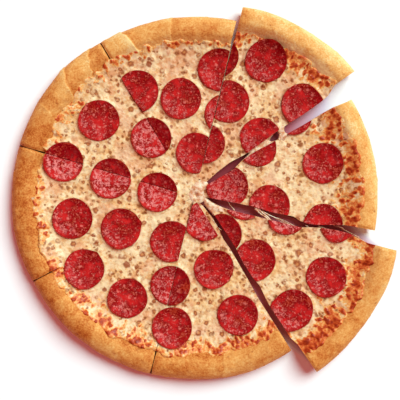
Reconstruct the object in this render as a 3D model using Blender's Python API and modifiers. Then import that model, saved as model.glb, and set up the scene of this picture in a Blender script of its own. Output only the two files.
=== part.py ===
"""A pepperoni pizza, cut into eight slices of which three are drawn a little apart.

Every slice is a wedge of one round: a flat crust with a raised rim, a layer of cheese on it,
and rounds of pepperoni on the cheese. The cuts go through the pepperoni too. Lengths are in
metres, +Z is up and the pizza lies on z = 0, with its origin under the middle of its box."""

import math

import bmesh
import bpy
import numpy as np
from mathutils import Vector
from mathutils.bvhtree import BVHTree

MM = 0.001

# The whole round
ROUND_RADIUS = 178.6 * MM  # a 14-inch pizza
BASE_THICKNESS = 7.0 * MM
RIM_HEIGHT = 21.8 * MM
CHEESE_THICKNESS = 3.2 * MM
CHEESE_REACH = 151.8 * MM  # from the middle, part of the way up the inside of the rim
CLEARANCE = 0.35 * MM  # between layers that touch
CHEESE_THINNING = 0.35  # share of its thickness lost up the rim
CHEESE_EDGE = (1.3 * MM, 0.15 * MM)  # heights of its edge, top and foot, over its bed
TURN_STEPS = 84
WELD = 0.05 * MM
SMOOTH_UNDER = math.radians(40)

# How uneven the rim is: height of each wave, waves in a turn, and its phase
RIM_BULGES = ((1.1, 1, 3.9), (0.4, 3, 5.7), (0.4, 5, 2.2), (0.5, 7, 3.7), (0.3, 12, 5.1))
RIM_HUMPS = ((1.0, 5, 1.2), (0.7, 9, 3.9), (0.5, 16, 0.6))
CHEESE_LOBES = ((0.9, 11, 0.3), (0.7, 19, 2.6))

# The knife
HALF_KERF = 0.25 * MM
BLUNT_TIP = 2.0 * MM
CUTTER_REACH = 260 * MM
CUTTER_DEPTH = 120 * MM

# Each slice: where its two cuts meet, the directions of the cuts in degrees from +X, how much
# of the tip is gone, and how far the slice was drawn from the round
SLICES = {
    "n": ((0.0, 0.0), (76.2, 121.1), 0.0, (0.0, 0.0)),
    "nw": ((0.0, 0.0), (121.1, 163.6), 0.0, (0.0, 0.0)),
    "w": ((0.0, 0.0), (163.6, 207.7), 0.0, (0.0, 0.0)),
    "sw": ((0.0, 0.0), (207.7, 256.2), 0.0, (0.0, 0.0)),
    "s": ((0.0, 0.0), (256.2, 302.5), 0.0, (0.0, 0.0)),
    "se": ((12.8, -7.1), (303.1, 346.3), 9.0, (24.0, -22.0)),
    "e": ((-3.4, 2.5), (-11.1, 30.5), 9.0, (3.4, 3.4)),
    "ne": ((2.0, 4.9), (37.2, 75.9), 12.0, (20.2, 11.3)),
}

# The pepperoni
PEPPERONI_THICKNESS = 1.9 * MM
PEPPERONI_SIDES = 20
PEPPERONI_CUP = 0.9 * MM  # how far its edge curls up
PEPPERONI_WAVES = ((0.010, 2, 0.0), (0.008, 3, 1.7), (0.005, 5, 0.9))
PEPPERONI_TEMPLATE = 20.0 * MM
FEELERS = (-4 * MM, -2 * MM, 0.0, 1.2 * MM)

# Places and radii of the pepperoni on each slice, in millimetres from the middle of the round.
# A round across a cut is on both slices, and the cut leaves each slice its own share of it
PEPPERONI = {
    "n": (
        (24.6, 125.0, 20.6),
        (30.3, 81.3, 20.2),
        (-12.9, 96.8, 20.1),
        (-55.2, 103.9, 20.5),
        (-42.1, 58.2, 19.9),
        (2.0, 43.3, 19.8),
    ),
    "nw": (
        (-93.5, 75.2, 20.1),
        (-42.1, 58.2, 19.9),
        (-128.0, 34.4, 19.3),
        (-82.0, 18.2, 20.0),
        (-36.1, 4.8, 19.4),
    ),
    "w": (
        (-128.0, 34.4, 19.3),
        (-82.0, 18.2, 20.0),
        (-36.1, 4.8, 19.4),
        (-119.5, -21.2, 19.8),
        (-71.9, -31.0, 19.8),
        (-107.8, -70.8, 19.6),
    ),
    "sw": (
        (-22.9, -43.7, 20.1),
        (-65.4, -99.5, 19.5),
        (-23.2, -87.1, 19.5),
    ),
    "s": (
        (10.5, -23.4, 19.7),
        (18.9, -71.1, 19.0),
        (43.2, -115.9, 19.8),
        (-23.2, -87.1, 19.5),
        (-21.5, -128.2, 19.8),
    ),
    "se": (
        (50.0, -2.3, 20.2),
        (92.0, -17.2, 19.9),
        (141.8, -27.1, 19.9),
        (27.3, -36.5, 19.8),
        (60.0, -62.0, 20.3),
        (130.0, -78.7, 19.8),
        (97.2, -110.8, 20.0),
    ),
    "e": (
        (98.2, 79.0, 20.1),
        (62.2, 49.2, 19.9),
        (126.7, 33.2, 19.8),
        (33.1, 9.9, 20.3),
        (74.4, -8.1, 19.9),
        (126.4, -26.8, 19.9),
    ),
    "ne": (
        (70.8, 133.6, 20.6),
        (23.4, 137.7, 20.5),
        (33.8, 93.7, 20.8),
        (10.9, 52.8, 19.6),
        (106.0, 91.0, 20.2),
        (65.2, 58.3, 19.9),
    ),
}
# Rounds that a cut passes by: they lie whole, across the cut (slice, place in its list)
WHOLE = (("w", 4), ("w", 5), ("s", 4))
# The one on the west slice with a small nose at its side: direction in degrees, and height
NOSED = ("w", 4)
NOSE_DIRECTION = 15.0
NOSE_HEIGHT = 0.07

# Distances from the middle, and heights, down the outer side of the round
CRUST_PROFILE = (
    (0.0, BASE_THICKNESS),
    (60 * MM, BASE_THICKNESS),
    (120 * MM, BASE_THICKNESS + 0.2 * MM),
    (140 * MM, BASE_THICKNESS + 0.8 * MM),
    (146 * MM, 9.5 * MM),
    (150 * MM, 12.5 * MM),
    (153.5 * MM, 16.5 * MM),
    (157.5 * MM, 20.0 * MM),
    (ROUND_RADIUS - 16.5 * MM, RIM_HEIGHT),
    (ROUND_RADIUS - 10.5 * MM, RIM_HEIGHT - 0.3 * MM),
    (ROUND_RADIUS - 4.8 * MM, 19.0 * MM),
    (ROUND_RADIUS - 1.2 * MM, 15.0 * MM),
    (ROUND_RADIUS, 11.0 * MM),
    (ROUND_RADIUS - 0.6 * MM, 7.0 * MM),
    (ROUND_RADIUS - 2.8 * MM, 3.0 * MM),
    (ROUND_RADIUS - 6.2 * MM, 0.6 * MM),
    (ROUND_RADIUS - 9.5 * MM, 0.0),
    (80 * MM, 0.0),
    (0.0, 0.0),
)
CREST = 9  # place in the list of the point on top of the rim
CHEESE_BED = 6  # how many of its points the cheese lies over
CHEESE_TOP_RADII = (0.0, 60 * MM, 120 * MM, 138 * MM, 144.5 * MM, 148.5 * MM)


def clear_scene():
    for obj in list(bpy.data.objects):
        bpy.data.objects.remove(obj, do_unlink=True)


def make_collection(name, hidden=False):
    collection = bpy.data.collections.new(name)
    collection.hide_render = hidden
    bpy.context.scene.collection.children.link(collection)
    return collection


def make_material(name, colour, roughness):
    material = bpy.data.materials.new(name)
    material.use_nodes = True
    shader = material.node_tree.nodes["Principled BSDF"]
    shader.inputs["Base Color"].default_value = (*colour, 1.0)
    shader.inputs["Roughness"].default_value = roughness
    shader.inputs["Metallic"].default_value = 0.0
    return material


def waves(angle, table):
    """Sum of sines round a turn, each with its height, number of waves and phase."""
    return sum(height * np.sin(count * angle + phase) for height, count, phase in table)


def smooth_step(low, high, x):
    t = np.clip((x - low) / (high - low), 0.0, 1.0)
    return t * t * (3.0 - 2.0 * t)


def coordinates(mesh):
    points = np.empty(3 * len(mesh.vertices))
    mesh.vertices.foreach_get("co", points)
    return points.reshape(-1, 3)


def set_coordinates(mesh, points):
    mesh.vertices.foreach_set("co", points.reshape(-1))
    mesh.update()


def turned_mesh(name, profile, steps):
    """The closed mesh that a profile sweeps in one turn about Z."""
    line = bpy.data.meshes.new(name + "_profile")
    line.from_pydata(
        [(radius, 0.0, height) for radius, height in profile],
        [(i, i + 1) for i in range(len(profile) - 1)],
        [],
    )
    obj = bpy.data.objects.new(name + "_profile", line)
    bpy.context.scene.collection.objects.link(obj)
    screw = obj.modifiers.new("turn", "SCREW")
    screw.axis = "Z"
    screw.steps = steps
    screw.render_steps = steps
    screw.use_merge_vertices = True
    screw.merge_threshold = WELD
    evaluated = obj.evaluated_get(bpy.context.evaluated_depsgraph_get())
    mesh = bpy.data.meshes.new_from_object(evaluated)
    mesh.name = name
    bpy.data.objects.remove(obj, do_unlink=True)
    bpy.data.meshes.remove(line)
    tidy = bmesh.new()
    tidy.from_mesh(mesh)
    bmesh.ops.remove_doubles(tidy, verts=tidy.verts, dist=WELD)
    bmesh.ops.recalc_face_normals(tidy, faces=tidy.faces)
    tidy.to_mesh(mesh)
    tidy.free()
    return mesh


def shape_rim(points):
    """Makes the rim uneven: its outline bulges and its crest rises and falls round the turn."""
    radius = np.hypot(points[:, 0], points[:, 1])
    angle = np.arctan2(points[:, 1], points[:, 0])
    at_rim = smooth_step(140 * MM, 168 * MM, radius)
    grow = 1.0 + at_rim * waves(angle, RIM_BULGES) * MM / np.maximum(radius, MM)
    points[:, :2] *= grow[:, None]
    raised = smooth_step(146 * MM, 160 * MM, radius) * smooth_step(2 * MM, 18 * MM, points[:, 2])
    points[:, 2] += raised * waves(angle, RIM_HUMPS) * MM
    return points


def crust_height(radius):
    radii, heights = np.array(CRUST_PROFILE[:CREST]).T
    return np.interp(radius, radii, heights)


def cheese_profile():
    """Top of the cheese from the middle outwards, thinning up the rim, then its underside."""
    top = []
    for radius in CHEESE_TOP_RADII:
        thinning = CHEESE_THINNING * smooth_step(138 * MM, CHEESE_REACH, radius)
        thick = CHEESE_THICKNESS * (1.0 - thinning)
        top.append((radius, crust_height(radius) + CLEARANCE + thick))
    bed_height = crust_height(CHEESE_REACH) + CLEARANCE
    edge, foot = ((CHEESE_REACH, bed_height + above) for above in CHEESE_EDGE)
    bed = reversed(CRUST_PROFILE[:CHEESE_BED])
    under = [(radius, height + CLEARANCE) for radius, height in bed]
    return [*top, edge, foot, *under]


def shape_cheese(points):
    """The cheese follows the rim, and its edge creeps up it in lobes."""
    radius = np.hypot(points[:, 0], points[:, 1])
    angle = np.arctan2(points[:, 1], points[:, 0])
    points = shape_rim(points)
    at_edge = smooth_step(140 * MM, 150 * MM, radius)
    above = points[:, 2] > crust_height(radius) + 2.2 * CLEARANCE
    points[:, 2] += at_edge * above * (0.5 + 0.3 * waves(angle, CHEESE_LOBES)) * MM
    return points


def wedge_cutter(name, apex, directions, blunt, collection, parent):
    """A tall block between the two cuts of a slice, drawn in by half the knife's width."""
    apex = Vector(apex) * MM
    start, end = (Vector((math.cos(a), math.sin(a))) for a in map(math.radians, directions))
    half_angle = math.radians(directions[1] - directions[0]) / 2
    middle = (start + end).normalized()
    apex += middle * (HALF_KERF / math.sin(half_angle))
    near = max(blunt * MM, BLUNT_TIP)
    outline = (
        apex + start * near,
        apex + start * CUTTER_REACH,
        apex + end * CUTTER_REACH,
        apex + end * near,
    )
    mesh = bpy.data.meshes.new(name)
    mesh.from_pydata([(p.x, p.y, 0.0) for p in outline], [], [(0, 1, 2, 3)])
    cutter = bpy.data.objects.new(name, mesh)
    cutter.hide_render = True
    cutter.display_type = "WIRE"
    cutter.parent = parent
    solid = cutter.modifiers.new("depth", "SOLIDIFY")
    solid.thickness = CUTTER_DEPTH
    solid.offset = 0.0
    collection.objects.link(cutter)
    return cutter


def add_piece(name, mesh, material, place, collection, parent, cutter=None):
    mesh.materials.clear()
    mesh.materials.append(material)
    mesh.shade_smooth()
    mesh.set_sharp_from_angle(angle=SMOOTH_UNDER)
    piece = bpy.data.objects.new(name, mesh)
    piece.location = place
    piece.parent = parent
    collection.objects.link(piece)
    if cutter is not None:
        cut = piece.modifiers.new("cut", "BOOLEAN")
        cut.operation = "INTERSECT"
        cut.solver = "EXACT"
        cut.object = cutter
    return piece


def pepperoni_profile():
    """A thin round with soft edges, from the middle of its top to the middle of its underside."""
    outer = PEPPERONI_TEMPLATE
    return (
        (0.0, PEPPERONI_THICKNESS),
        (0.62 * outer, PEPPERONI_THICKNESS),
        (0.955 * outer, PEPPERONI_THICKNESS),
        (outer, 0.5 * PEPPERONI_THICKNESS),
        (0.965 * outer, 0.0),
        (0.6 * outer, 0.0),
        (0.0, 0.0),
    )


def lying_height(surface, places):
    """Height at which something stiff lies over each place.

    It is the highest of the surface there and at the points FEELERS nearer to or further from
    the middle, found by rays from above, so that the edge of the cheese doesn't cut into it."""
    outwards = places / np.maximum(np.hypot(*places.T), MM)[:, None]
    down = Vector((0.0, 0.0, -1.0))
    return np.array([
        max(
            surface.ray_cast(Vector((*(place + out * feeler), 1.0)), down)[0].z
            for feeler in FEELERS
        )
        for place, out in zip(places, outwards)
    ])


def pepperoni_mesh(name, template, x, y, radius, shift, surface, nosed):
    """A copy of the round, not quite circular, curled at its edge and laid on the cheese."""
    mesh = template.copy()
    mesh.name = name
    points = coordinates(mesh)
    across = np.hypot(points[:, 0], points[:, 1]) / PEPPERONI_TEMPLATE
    angle = np.arctan2(points[:, 1], points[:, 0])
    turn = 0.05 * (x - 2.0 * y)
    growth = 1.0 + waves(angle + turn, PEPPERONI_WAVES)
    if nosed:
        off = (angle - math.radians(NOSE_DIRECTION) + math.pi) % (2 * math.pi) - math.pi
        growth += NOSE_HEIGHT * np.exp(-((off / 0.2) ** 2)) * across**4
    points[:, :2] *= (growth * radius * MM / PEPPERONI_TEMPLATE)[:, None]
    curl = PEPPERONI_CUP * across**4 * (0.6 + 0.4 * np.sin(2 * angle + 3 * turn))
    under = points[:, :2] + (np.array((x, y)) - shift) * MM
    points[:, 2] += curl + lying_height(surface, under) + CLEARANCE
    set_coordinates(mesh, points)
    return mesh


def surface_of(*meshes):
    """The tree of all the faces of some meshes, to find what lies on top of them."""
    joined = bmesh.new()
    for mesh in meshes:
        joined.from_mesh(mesh)
    tree = BVHTree.FromBMesh(joined)
    joined.free()
    return tree


def box_middle(pieces):
    """The middle, across X and Y, of the box round the finished pieces."""
    bpy.context.view_layer.update()
    depsgraph = bpy.context.evaluated_depsgraph_get()
    corners = []
    for piece in pieces:
        evaluated = piece.evaluated_get(depsgraph)
        points = coordinates(evaluated.to_mesh()) + np.array(piece.matrix_world.translation)
        evaluated.to_mesh_clear()
        corners += [points.min(axis=0), points.max(axis=0)]
    corners = np.array(corners)
    return (corners.min(axis=0) + corners.max(axis=0)) / 2


clear_scene()
pizza = make_collection("pepperoni_pizza")
cutters = make_collection("cutters", hidden=True)
middle = bpy.data.objects.new("middle_of_round", None)
pizza.objects.link(middle)

CRUST = make_material("crust", (0.62, 0.31, 0.09), 0.6)
CHEESE = make_material("cheese", (0.86, 0.62, 0.27), 0.4)
PEPPERONI_MEAT = make_material("pepperoni", (0.42, 0.025, 0.02), 0.35)

round_crust = turned_mesh("round_of_crust", CRUST_PROFILE, TURN_STEPS)
set_coordinates(round_crust, shape_rim(coordinates(round_crust)))
round_cheese = turned_mesh("round_of_cheese", cheese_profile(), TURN_STEPS)
set_coordinates(round_cheese, shape_cheese(coordinates(round_cheese)))
pepperoni_round = turned_mesh("round_of_pepperoni", pepperoni_profile(), PEPPERONI_SIDES)
top_surface = surface_of(round_crust, round_cheese)

crusts = []
for slice_name, (apex, directions, blunt, shift) in SLICES.items():
    cutter = wedge_cutter("knife_" + slice_name, apex, directions, blunt, cutters, middle)
    place = (shift[0] * MM, shift[1] * MM, 0.0)
    crusts.append(
        add_piece(
            "crust_" + slice_name, round_crust.copy(), CRUST, place, pizza, middle, cutter
        )
    )
    add_piece("cheese_" + slice_name, round_cheese.copy(), CHEESE, place, pizza, middle, cutter)
    for number, (x, y, radius) in enumerate(PEPPERONI[slice_name]):
        name = f"pepperoni_{slice_name}_{number + 1}"
        here = (slice_name, number)
        mesh = pepperoni_mesh(
            name, pepperoni_round, x, y, radius, shift, top_surface, here == NOSED
        )
        crossing = None if here in WHOLE else cutter
        spot = (x * MM, y * MM, 0.0)
        add_piece(name, mesh, PEPPERONI_MEAT, spot, pizza, middle, crossing)

centre = box_middle(crusts)
middle.location = (-centre[0], -centre[1], 0.0)
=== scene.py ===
import math

import bpy
import numpy as np
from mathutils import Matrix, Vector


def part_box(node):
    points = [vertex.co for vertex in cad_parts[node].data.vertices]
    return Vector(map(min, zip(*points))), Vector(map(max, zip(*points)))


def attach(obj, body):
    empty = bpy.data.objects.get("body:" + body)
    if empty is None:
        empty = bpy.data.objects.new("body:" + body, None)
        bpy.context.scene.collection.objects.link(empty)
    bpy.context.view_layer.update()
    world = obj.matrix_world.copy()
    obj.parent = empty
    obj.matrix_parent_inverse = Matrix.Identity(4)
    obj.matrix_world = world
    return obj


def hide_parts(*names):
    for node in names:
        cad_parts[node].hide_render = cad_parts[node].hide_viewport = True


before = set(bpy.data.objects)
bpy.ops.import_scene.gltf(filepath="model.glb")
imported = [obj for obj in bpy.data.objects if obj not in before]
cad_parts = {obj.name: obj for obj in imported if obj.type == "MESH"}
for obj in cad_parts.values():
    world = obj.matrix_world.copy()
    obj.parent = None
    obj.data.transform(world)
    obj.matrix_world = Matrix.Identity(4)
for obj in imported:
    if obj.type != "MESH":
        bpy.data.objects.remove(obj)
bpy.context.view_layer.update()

# Crust. One round of yeast dough is stretched flat, its rim rolled over by hand so that shallow
# folds run across it, then baked and cut eight ways. It bakes golden, its colour darker on the
# left, and the cuts show the crumb. The slices on the right are drawn out a little from the
# others.
METRE = 0.001  # distances here are in millimetres from the middle of the round
LIGHT_LEVEL = 1.15  # what a level white surface sends back under the lamp and the fill
ROUND_RADIUS = 178.6
HALF_KERF = 0.25
MELT_FROM, MELT_TO = (4.0, 12.0), (152.0, 144.0)  # melting sets in and ends along a cut
BLUNT_TIP = 2.0
BULGE_REACH = 14.0
CRUST_RISE = 140.0
BASE_TOP = 7.0
UPPER_SECTION = (
    (140, 9), (146, 11.5), (150, 13.9), (153.5, 16.5), (157.5, 19.5), (162, 21.7),
    (168, 21.5), (173.8, 19), (177.4, 15), (178.6, 11.8),
)
LOWER_SECTION = (
    (140, 0), (165, 0), (169.5, 0.1), (173.2, 1.4), (176.2, 4.4), (177.9, 8),
    (178.5, 10.6),
)
SECTION_LENGTH = 55.0
BASE_ROWS = 24
RIM_ROWS = 65
CRUST_COLUMNS = 173
CRUST_WALL_ROWS = 8
COARSE = 4  # the hidden underside has one row and column in this many
RIM_BULGES = ((1.1, 1, 3.9), (0.4, 3, 5.7), (0.4, 5, 2.2), (0.5, 7, 3.7), (0.3, 12, 5.1))
RIM_HUMPS = ((1, 5, 1.2), (0.7, 9, 3.9), (0.5, 16, 0.6))
# Each fold: its direction in degrees, its slant and the height of its step
FOLDS = ((110.6, -0.3, 1.2), (98.2, 0.1, 0.5), (130.3, 0.45, 0.8), (140.3, 0.45, 0.8),
         (151, 0.3, 0.35), (232, -0.3, 0.4), (281, 0.2, 0.4), (176, 0.2, 0.3))
# By direction in degrees from the right, how the oven heated the round: how far out the cheese
# ran, how wide it browned inside its edge and how hot the cheese; and how dark the crust is
# coloured
OVEN = np.array((
    (-57.2, 157, 24, 0.80, 0.56), (-45, 158, 30, 0.90, 0.52),
    (-30, 157, 30, 0.85, 0.48), (-13.8, 156, 24, 0.75, 0.42),
    (-11, 161, 26, 0.56, 0.38), (0, 163, 32, 0.54, 0.34),
    (15, 162, 32, 0.54, 0.28), (30.4, 159, 28, 0.56, 0.26),
    (37.2, 154, 24, 0.60, 0.28), (50, 153, 24, 0.62, 0.28),
    (65, 153, 20, 0.62, 0.32), (75.9, 152, 20, 0.58, 0.40),
    (76.4, 154, 7, 0.16, 0.50), (100, 156, 8, 0.14, 0.54),
    (121, 156, 11, 0.10, 0.62), (140, 154, 18, 0.15, 0.70),
    (163, 155, 15, 0.20, 0.70), (185, 157, 12, 0.25, 0.74),
    (207, 159, 14, 0.48, 0.70), (222, 158, 17, 0.56, 0.64),
    (240, 157, 17, 0.56, 0.62), (256, 157, 15, 0.54, 0.62),
    (280, 156, 16, 0.54, 0.58), (302.8, 156, 17, 0.56, 0.50),
))
OPEN_RIM = ((148, 0), (155, -0.6), (163, -0.1), (173, -0.2), (178, -0.8))
TOUCHING = 0.28  # the slices still touch where the cheese melted together by more than this
OUTER_ROWS = 4  # rows at the rim's outer edge that count as skin, also at a cut
HIDDEN_BROWN = 0.7
DIAGONAL = 1.41  # across a square, over its side
CURVE_STEPS = 40
UNDERSIDE_INSET = 0.01
SHARP_ANGLE = 55


class Slice:
    """One wedge: the directions of its cuts, where they meet and how far it was drawn out.

    A bulge is a table of distances along a cut and how far the edge reaches past it there.
    Each cut is kept as its ray, the direction into the slice, its bulge and its melting."""

    def __init__(self, degrees, first_bulge=OPEN_RIM, last_bulge=OPEN_RIM, melted=(0.3, 0.3),
                 apex=(0.0, 0.0), blunt=0.0, shift=(0.0, 0.0)):
        self.start, self.end = np.radians(degrees)
        half = (self.end - self.start) / 2
        middle = (self.start + self.end) / 2
        inset = HALF_KERF / math.sin(half)
        self.apex = np.array(apex) + inset * np.array((math.cos(middle), math.sin(middle)))
        self.near = max(blunt, BLUNT_TIP)
        self.shift = np.array(shift)
        self.cuts = []
        for turn, side, bulge, melt in ((self.start, 1.0, first_bulge, melted[0]),
                                        (self.end, -1.0, last_bulge, melted[1])):
            ray = np.array((math.cos(turn), math.sin(turn)))
            inwards = side * np.array((-ray[1], ray[0]))
            self.cuts.append((ray, inwards, np.transpose(bulge), melt))

    def away_from_cuts(self, place):
        """Distance of each place from the first and from the last cut, into the slice."""
        return [(place - self.apex) @ inwards for _, inwards, _, _ in self.cuts]


# Each slice: directions of its cuts in degrees from the right, bulges of the first and the last,
# how far cheese melts over them, and for the drawn ones the apex, the tip's bluntness and shift
SLICES = {
    "n": Slice((76.2, 121.1), ((0, 0), (20, 0.4), (148, 0.4), (156, -0.6)),
               ((100, 0), (112, 1.2), (130, 1.2), (142, 0), (152, 0.3),
                (200, 0.2)), (0.25, 0.3)),
    "nw": Slice((121.1, 163.6), ((100, 0), (112, -1.2), (130, -1.2), (142, 0),
                                 (156, -1.1), (172, -0.8), (178, -1.4))),
    "w": Slice((163.6, 207.7)),
    "sw": Slice((207.7, 256.2)),
    "s": Slice((256.2, 302.5), OPEN_RIM,
               ((0, 0), (12, 3), (28, 4.6), (40, 3.9), (50, 2.2), (62, 2.8),
                (74, 2.3), (85, 1.8), (97, 1.4), (109, 0.6), (120, 0)), (0.3, 0)),
    "se": Slice((303.1, 346.3),
                ((50, 0), (68, 2), (84, 2), (95, 0.6), (113, 3),
                 (127, 3.4), (139, 3), (154, 3.4), (163, 1), (200, 0)),
                ((95, 0), (105, 2.5), (115, 4.5), (128, 5.5), (142, 5.5),
                 (151, 3), (162, 0.5), (200, 0)),
                (0, 0), (12.8, -7.1), 9, (24, -22)),
    "e": Slice((-11.1, 30.5),
               ((62, 0), (80, 2), (103, 2), (110, 5), (117, 6.2),
                (124, 6), (132, 4.8), (142, 2.8), (154, 0.6), (200, 0)),
               ((48, 0), (60, 3.3), (75, 4.3), (95, 3.4), (112, 3.4),
                (130, 2.8), (150, 3.2), (162, 2.8), (177, 0.6), (200, 0)),
               (0, 0), (-3.4, 2.5), 9, (3.4, 3.4)),
    "ne": Slice((37.2, 75.9),
                ((0, 0), (15, -1.5), (28, -2.8), (44, -2.8), (60, 0),
                 (80, 0.6), (100, 1), (114, 1.8), (130, 3.3), (150, 4),
                 (160, 3.3), (171, -1), (200, 0)),
                ((0, 0), (20, 0.5), (148, 0.5), (156, -0.2), (200, 0)),
                (0, 0.25), (2, 4.9), 12, (20.2, 11.3)),
}


def middle_of_round():
    """The round's middle in the frame, in metres, from the tips of two slices' crusts.

    The north-west slice reaches furthest right at its tip, and the north slice lowest."""
    right = SLICES["nw"].apex[0] + BLUNT_TIP * math.cos(SLICES["nw"].start)
    low = SLICES["n"].apex[1] + BLUNT_TIP * math.sin(SLICES["n"].end)
    return np.array((
        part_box("crust_nw")[1].x - right * METRE,
        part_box("crust_n")[0].y - low * METRE,
        0.0,
    ))


MIDDLE = middle_of_round()


def waves(angle, table):
    """Sum of sines round a turn, each with its height, number of waves and phase."""
    return sum(height * np.sin(count * angle + phase) for height, count, phase in table)


def smooth_step(low, high, x):
    """0 on the low side, 1 on the high side, and a smooth S between them."""
    t = np.clip((x - low) / (high - low), 0.0, 1.0)
    return t * t * (3.0 - 2.0 * t)


def mound(away, size):
    """1 in the middle, falling with the square of the distance to 0 at that size."""
    return np.clip(1.0 - (away / size) ** 2, 0.0, 1.0)


def polar(place):
    """How far places lie from the middle, and their directions from it in radians."""
    return np.hypot(place[..., 0], place[..., 1]), np.arctan2(place[..., 1], place[..., 0])


def turned_from(degrees, angle):
    """Angles from a direction in degrees, from half a turn behind it to half a turn ahead."""
    return (angle - math.radians(degrees) + math.pi) % (2 * math.pi) - math.pi


def joined(*parts):
    """Arrays laid end to end as one row of numbers."""
    return np.concatenate([np.ravel(part) for part in parts])


def noise(place, size, seed):
    """Values from -1 to 1 at the crossings of a square grid, blended smoothly between them."""
    table = np.random.default_rng(seed).uniform(-1.0, 1.0, (256, 256))
    across, along = place[..., 0] / size + 128.0, place[..., 1] / size + 128.0
    i, j = np.floor(across).astype(int), np.floor(along).astype(int)
    u, v = across - i, along - j
    u, v = u * u * (3 - 2 * u), v * v * (3 - 2 * v)
    i, j = i % 256, j % 256
    i2, j2 = (i + 1) % 256, (j + 1) % 256
    low = table[i, j] * (1 - u) + table[i2, j] * u
    high = table[i, j2] * (1 - u) + table[i2, j2] * u
    return low * (1 - v) + high * v


def layered_noise(place, size, seed, layers=3):
    """Noise with finer, fainter noise on it, each layer half the size and height of the last."""
    total = sum(noise(place, size / 2**k, seed + k) / 2**k for k in range(layers))
    return total / (2.0 - 0.5 ** (layers - 1))


def cells(place, size, seed):
    """Points scattered one to a square: the distance to the nearest, in squares, and its lot.

    The lot is a number from 0 to 1 that belongs to the point."""
    draw = np.random.default_rng(seed)
    across, along, lots = (draw.uniform(0.0, 1.0, (256, 256)) for _ in range(3))
    x, y = place[..., 0] / size + 128.0, place[..., 1] / size + 128.0
    i, j = np.floor(x).astype(int), np.floor(y).astype(int)
    best = np.full(x.shape, 9.0)
    lot = np.zeros(x.shape)
    for di, dj in np.ndindex(3, 3):
        ci, cj = (i + di - 1) % 256, (j + dj - 1) % 256
        away = np.hypot(i + di - 1 + across[ci, cj] - x, j + dj - 1 + along[ci, cj] - y)
        closer = away < best
        best = np.where(closer, away, best)
        lot = np.where(closer, lots[ci, cj], lot)
    return best, lot


def smooth_curve(points, count):
    """A Catmull-Rom curve through the points, at count places evenly spaced along it."""
    points = np.array(points, float)
    ends = np.vstack((2 * points[0] - points[1], points, 2 * points[-1] - points[-2]))
    t = np.linspace(0, len(points) - 1, CURVE_STEPS * len(points))
    i = np.minimum(t.astype(int), len(points) - 2)
    f = (t - i)[:, None]
    a, b, c, d = (ends[i + k] for k in range(4))
    curve = 0.5 * (2 * b + (c - a) * f + (2 * a - 5 * b + 4 * c - d) * f**2
                   + (3 * b - 3 * c + d - a) * f**3)
    gone = np.concatenate(([0.0], np.cumsum(np.hypot(*np.diff(curve, axis=0).T))))
    at = np.linspace(0.0, gone[-1], count)
    return np.column_stack([np.interp(at, gone, curve[:, k]) for k in range(points.shape[1])])


def oven(place, column):
    """A column of the oven's table at each place, by its direction from the middle."""
    first = OVEN[0, 0]
    degrees = (np.degrees(polar(place)[1]) - first) % 360.0 + first
    return np.interp(degrees, OVEN[:, 0], OVEN[:, column])


def bulged(piece, place, melt=0.0, closed=0.0):
    """Places moved with the slice's edges, which bulge past its straight cuts.

    Beside each cut a place moves outwards by the cut's bulge at that distance along it, and
    less the further it lies inside. Melted cheese closes over the knife's width, and where
    the slices still touch, the bottom of the crust closes below it."""
    moved = place.copy()
    own = place - piece.apex
    for ray, inwards, bulge, melted in piece.cuts:
        along = own @ ray
        out = np.interp(along, *bulge)
        out += melt * melted * smooth_step(*MELT_FROM, along) * smooth_step(*MELT_TO, along)
        out = np.maximum(out, closed) if melted > TOUCHING else out
        near = smooth_step(BULGE_REACH, 0.0, own @ inwards)
        moved -= (out * near)[..., None] * inwards
    return moved


def along_rays(piece, radii, columns):
    """Distances along rays from a slice's apex to circles about its own round's middle.

    Rays fan evenly from the first cut to the last, and a distance solves the circle's
    quadratic. Returns a distance for every row and column, and the rays."""
    turn = np.linspace(piece.start, piece.end, columns)
    rays = np.column_stack((np.cos(turn), np.sin(turn)))
    offset = piece.apex - piece.shift
    along = rays @ offset
    inside = np.maximum(along**2 - offset @ offset + radii**2, 0.0)
    return np.sqrt(inside) - along, rays


def on_round(piece, reach, rays):
    """Places at those distances on the rays, with their radius and angle in the slice's round."""
    place = piece.apex + reach[..., None] * rays
    return place, *polar(place - piece.shift)


def fan(piece, radii, rows, columns):
    """Rows of places from a slice's blunt tip to circles of those radii about its own round.

    Returns the places, their radius and angle in that round, and how far the edge is."""
    edge, rays = along_rays(piece, radii, columns)
    share = np.linspace(0.0, 1.0, rows)[:, None]
    reach = piece.near + (edge - piece.near) * share
    return *on_round(piece, reach, rays), (1.0 - share) * (edge - piece.near)


def flat_height(radius):
    """Height of the crust's flat part: level, then rising as the square towards the rim."""
    return BASE_TOP + 2.0 * np.clip((radius - 118.0) / 22.0, 0.0, 1.0) ** 2


def rim_of(grid):
    """The edge of a grid (rows outwards, columns counter-clockwise), counter-clockwise."""
    return np.concatenate((grid[:-1, 0], grid[-1, :-1], grid[:0:-1, -1], grid[0, :0:-1]))


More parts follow.
